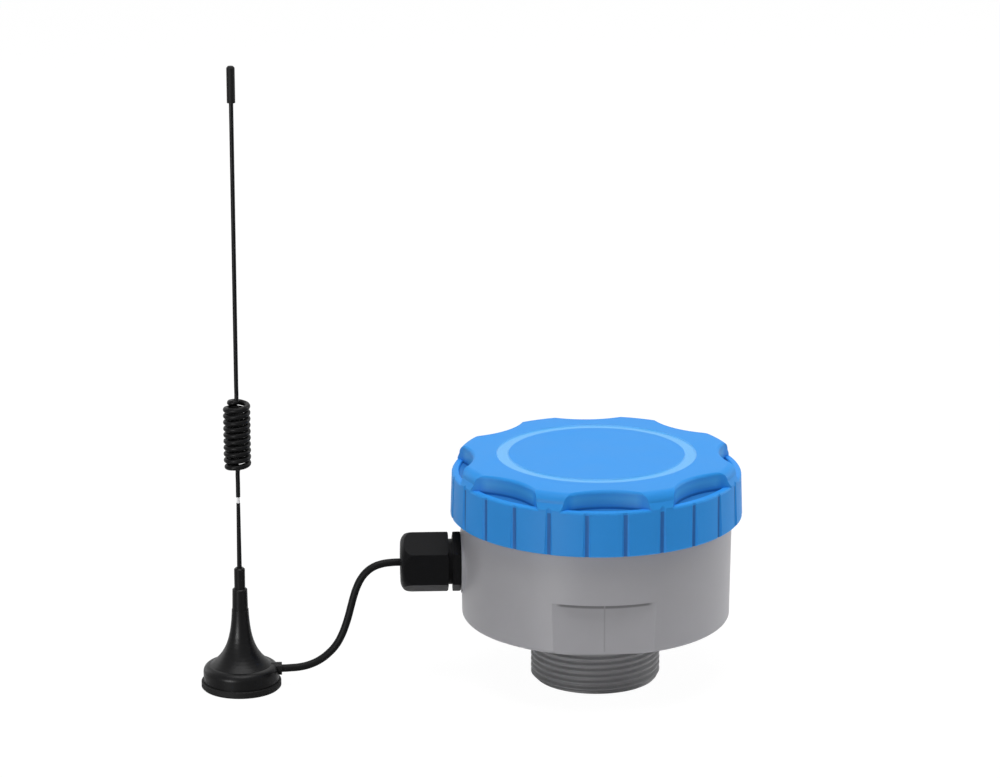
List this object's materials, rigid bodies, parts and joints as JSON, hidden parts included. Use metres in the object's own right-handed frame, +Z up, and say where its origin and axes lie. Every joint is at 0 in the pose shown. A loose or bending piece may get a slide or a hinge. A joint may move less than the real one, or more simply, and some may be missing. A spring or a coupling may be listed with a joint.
{
  "type": "radar level transmitter",
  "caption": "Round battery-powered radar level transmitter with a lobed screw lid, a male process thread, a side cable gland and a whip antenna on a magnetic foot.",
  "frame": {"origin": "centre of the flush lens face at the free end of the process thread", "axes": "+Z up along the process thread's axis to the lid; the cable gland points along -X"},
  "size_m": [0.1995, 0.1072, 0.2327],
  "materials": {
    "housing_grey": "fine matt mould texture",
    "lid_blue": "satin moulded plastic",
    "spigot_grey": "satin machined plastic",
    "seal_rubber": "matt",
    "screw_steel": "satin",
    "lens_ptfe": "waxy white",
    "horn_aluminium": "turned",
    "chip_black": "matt",
    "board_green": "solder mask",
    "shield_tin": "tinned",
    "sleeve_blue": "shrink sleeve",
    "contact_brass": "plated",
    "connector_ivory": "satin",
    "lead_wire": "insulated wire",
    "button_red": "gloss",
    "light_clear": "clear lens",
    "cable_black": "satin jacket",
    "tray_black": "matt",
    "cell_wrap": "plain shrink wrap",
    "gland_black": "satin moulded",
    "foot_rubber": "matt",
    "magnet_steel": "plated",
    "antenna_black": "satin",
    "whip_black": "satin coated wire",
    "splice_steel": "bright",
    "cap_rubber": "matt"
  },
  "bodies": {
    "transmitter": {"housing": "housing_grey", "process_spigot": "spigot_grey", "spigot_seal": "seal_rubber", "spigot_screws": "screw_steel", "lens": "lens_ptfe", "lens_seal": "seal_rubber", "horn": "horn_aluminium", "radar_sensor": "chip_black", "radar_board": "board_green", "radar_shield": "shield_tin", "radar_screws": "screw_steel", "board_link": "chip_black", "main_board": "board_green", "modem": "shield_tin", "pulse_capacitor": "sleeve_blue", "board_spacers": "contact_brass", "power_socket": "connector_ivory", "power_plug": "connector_ivory", "battery_leads": "lead_wire", "reset_switch": "chip_black", "power_switch": "shield_tin", "status_light": "light_clear", "antenna_socket": "contact_brass", "antenna_plug": "contact_brass", "antenna_lead_inner": "cable_black", "battery_tray": "tray_black", "tray_screws": "screw_steel", "battery_cell_left": "cell_wrap", "battery_cell_right": "cell_wrap", "cell_tabs": "shield_tin", "gland_washer": "seal_rubber", "gland_body": "gland_black", "gland_locknut": "gland_black", "gland_bush": "seal_rubber", "gland_nut": "gland_black", "antenna_cable": "cable_black", "antenna_foot": "foot_rubber", "antenna_magnet": "magnet_steel", "antenna_shell": "antenna_black", "whip_collar": "antenna_black", "whip_ferrule": "antenna_black", "whip_rod": "whip_black", "whip_splice": "splice_steel", "whip_coil": "whip_black", "whip_cap": "cap_rubber"},
    "seal_ring": {"lid_seal": "seal_rubber"},
    "screw_lid": {"lid": "lid_blue"},
    "reset_key": {"reset_button": "button_red"},
    "power_key": {"power_slider": "chip_black"}
  },
  "joints": [
    {"name": "lid_lift", "type": "slide", "parent": "transmitter", "child": "seal_ring", "axis": [0, 0, 1], "range_m": [0, 0.012]},
    {"name": "lid_turn", "type": "hinge", "parent": "seal_ring", "child": "screw_lid", "pos_m": [0, 0, 0.07], "axis": [0, 0, 1], "range_deg": [0, 1440]},
    {"name": "reset_press", "type": "slide", "parent": "transmitter", "child": "reset_key", "axis": [0, 0, -1], "range_m": [0, 0.0005], "stiffness_N_per_m": 400, "springref_m": -0.0005},
    {"name": "power_slide", "type": "slide", "parent": "transmitter", "child": "power_key", "axis": [1, 0, 0], "range_m": [0, 0.002]}
  ],
  "couplings": [
    {"joint": "lid_lift", "follows": "lid_turn", "m_per_rad": 0.00047746}
  ]
}
